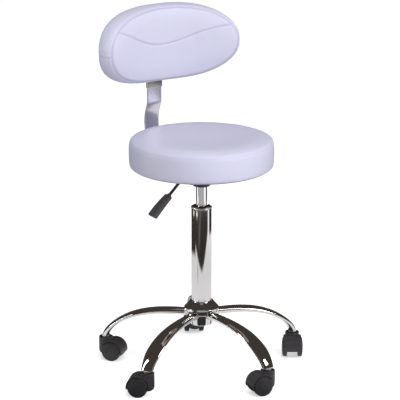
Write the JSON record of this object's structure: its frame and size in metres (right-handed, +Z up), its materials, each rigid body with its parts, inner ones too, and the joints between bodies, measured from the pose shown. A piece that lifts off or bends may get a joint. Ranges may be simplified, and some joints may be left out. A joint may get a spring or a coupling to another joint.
{
  "type": "pedicure stool",
  "caption": "Low work stool with a round padded seat on a gas lift, a chromed star base on castors, and an oval back pad on a flat bar that slides up and down.",
  "frame": {"origin": "middle of the floor area that the stool covers, on the floor", "axes": "+Z up, the back pad towards +Y, the sitter faces -Y, the height lever towards -X"},
  "size_m": [0.5442, 0.5487, 0.8938],
  "materials": {
    "chrome": "polished",
    "zinc_steel": "satin",
    "black_steel": "satin",
    "black_plastic": "satin",
    "rubber": "matte",
    "vinyl": "satin",
    "plywood": "matte"
  },
  "bodies": {
    "base": {"hub_tube": "chrome", "hub_cover": "chrome", "leg_1": "chrome", "leg_2": "chrome", "leg_3": "chrome", "leg_4": "chrome", "leg_5": "chrome", "column_tube": "chrome", "guide_bush": "black_plastic", "thrust_bearing": "zinc_steel", "rubber_damper": "rubber", "castor_1_stem": "zinc_steel", "castor_2_stem": "zinc_steel", "castor_3_stem": "zinc_steel", "castor_4_stem": "zinc_steel", "castor_5_stem": "zinc_steel"},
    "spindle": {"piston_rod": "zinc_steel", "piston": "black_plastic", "retaining_clip": "zinc_steel"},
    "seat": {"gas_cylinder": "chrome", "cylinder_gland": "black_plastic", "seat_plate": "black_steel", "dust_collar": "black_plastic", "plate_bolt_1": "zinc_steel", "plate_bolt_2": "zinc_steel", "plate_bolt_3": "zinc_steel", "plate_bolt_4": "zinc_steel", "lever_pivot_pin": "zinc_steel", "seat_board": "plywood", "seat_cushion": "vinyl", "backrest_bar": "chrome", "bar_bolt_1": "zinc_steel", "bar_bolt_2": "zinc_steel"},
    "valve": {"valve_button": "zinc_steel"},
    "lever": {"lever_rod": "black_steel", "lever_grip": "black_plastic"},
    "back": {"backrest_sleeve": "chrome", "backrest_board": "plywood", "backrest_pad": "vinyl"},
    "knob": {"backrest_knob": "black_plastic"},
    "castor_1": {"castor_1_hood": "black_plastic", "castor_1_axle": "zinc_steel"},
    "castor_1_left": {"castor_1_wheel_left": "black_plastic"},
    "castor_1_right": {"castor_1_wheel_right": "black_plastic"},
    "castor_2": {"castor_2_hood": "black_plastic", "castor_2_axle": "zinc_steel"},
    "castor_2_left": {"castor_2_wheel_left": "black_plastic"},
    "castor_2_right": {"castor_2_wheel_right": "black_plastic"},
    "castor_3": {"castor_3_hood": "black_plastic", "castor_3_axle": "zinc_steel"},
    "castor_3_left": {"castor_3_wheel_left": "black_plastic"},
    "castor_3_right": {"castor_3_wheel_right": "black_plastic"},
    "castor_4": {"castor_4_hood": "black_plastic", "castor_4_axle": "zinc_steel"},
    "castor_4_left": {"castor_4_wheel_left": "black_plastic"},
    "castor_4_right": {"castor_4_wheel_right": "black_plastic"},
    "castor_5": {"castor_5_hood": "black_plastic", "castor_5_axle": "zinc_steel"},
    "castor_5_left": {"castor_5_wheel_left": "black_plastic"},
    "castor_5_right": {"castor_5_wheel_right": "black_plastic"}
  },
  "joints": [
    {"name": "spindle_turn", "type": "hinge", "parent": "base", "child": "spindle", "pos_m": [0.0043, -0.0014, 0.12], "axis": [0, 0, 1], "continuous": true},
    {"name": "seat_lift", "type": "slide", "parent": "spindle", "child": "seat", "axis": [0, 0, 1], "range_m": [-0.04, 0.09]},
    {"name": "lever_lift", "type": "hinge", "parent": "seat", "child": "lever", "pos_m": [-0.0277, -0.0014, 0.5075], "axis": [0, 1, 0], "range_deg": [0, 7], "stiffness_Nm_per_rad": 2.5, "springref_deg": -3.44},
    {"name": "valve_press", "type": "slide", "parent": "seat", "child": "valve", "axis": [0, 0, 1], "range_m": [-0.0045, 0]},
    {"name": "back_height", "type": "slide", "parent": "seat", "child": "back", "axis": [0, 0, 1], "range_m": [-0.015, 0.05]},
    {"name": "knob_turn", "type": "hinge", "parent": "back", "child": "knob", "pos_m": [0.0043, 0.2427, 0.7135], "axis": [0, 1, 0], "continuous": true},
    {"name": "castor_1_swivel", "type": "hinge", "parent": "base", "child": "castor_1", "pos_m": [0.1209, 0.21974, 0.05], "axis": [0, 0, 1], "continuous": true},
    {"name": "castor_1_roll_left", "type": "hinge", "parent": "castor_1", "child": "castor_1_left", "pos_m": [0.13043, 0.23846, 0.025], "axis": [-0.891, 0.454, 0], "continuous": true},
    {"name": "castor_1_roll_right", "type": "hinge", "parent": "castor_1", "child": "castor_1_right", "pos_m": [0.13043, 0.23846, 0.025], "axis": [-0.891, 0.454, 0], "continuous": true},
    {"name": "castor_2_swivel", "type": "hinge", "parent": "base", "child": "castor_2", "pos_m": [-0.16999, 0.17783, 0.05], "axis": [0, 0, 1], "continuous": true},
    {"name": "castor_2_roll_left", "type": "hinge", "parent": "castor_2", "child": "castor_2_left", "pos_m": [-0.15706, 0.16128, 0.025], "axis": [0.788, 0.6157, 0], "continuous": true},
    {"name": "castor_2_roll_right", "type": "hinge", "parent": "castor_2", "child": "castor_2_right", "pos_m": [-0.15706, 0.16128, 0.025], "axis": [0.788, 0.6157, 0], "continuous": true},
    {"name": "castor_3_swivel", "type": "hinge", "parent": "base", "child": "castor_3", "pos_m": [-0.22001, -0.11178, 0.05], "axis": [0, 0, 1], "continuous": true},
    {"name": "castor_3_roll_left", "type": "hinge", "parent": "castor_3", "child": "castor_3_left", "pos_m": [-0.23562, -0.09773, 0.025], "axis": [-0.6691, -0.7431, 0], "continuous": true},
    {"name": "castor_3_roll_right", "type": "hinge", "parent": "castor_3", "child": "castor_3_right", "pos_m": [-0.23562, -0.09773, 0.025], "axis": [-0.6691, -0.7431, 0], "continuous": true},
    {"name": "castor_4_swivel", "type": "hinge", "parent": "base", "child": "castor_4", "pos_m": [0.03996, -0.24884, 0.05], "axis": [0, 0, 1], "continuous": true},
    {"name": "castor_4_roll_left", "type": "hinge", "parent": "castor_4", "child": "castor_4_left", "pos_m": [0.01916, -0.24592, 0.025], "axis": [-0.1392, -0.9903, 0], "continuous": true},
    {"name": "castor_4_roll_right", "type": "hinge", "parent": "castor_4", "child": "castor_4_right", "pos_m": [0.01916, -0.24592, 0.025], "axis": [-0.1392, -0.9903, 0], "continuous": true},
    {"name": "castor_5_swivel", "type": "hinge", "parent": "base", "child": "castor_5", "pos_m": [0.25065, -0.04395, 0.05], "axis": [0, 0, 1], "continuous": true},
    {"name": "castor_5_roll_left", "type": "hinge", "parent": "castor_5", "child": "castor_5_left", "pos_m": [0.23952, -0.06176, 0.025], "axis": [0.848, -0.5299, 0], "continuous": true},
    {"name": "castor_5_roll_right", "type": "hinge", "parent": "castor_5", "child": "castor_5_right", "pos_m": [0.23952, -0.06176, 0.025], "axis": [0.848, -0.5299, 0], "continuous": true}
  ],
  "couplings": [
    {"joint": "valve_press", "follows": "lever_lift", "m_per_rad": -0.032}
  ]
}
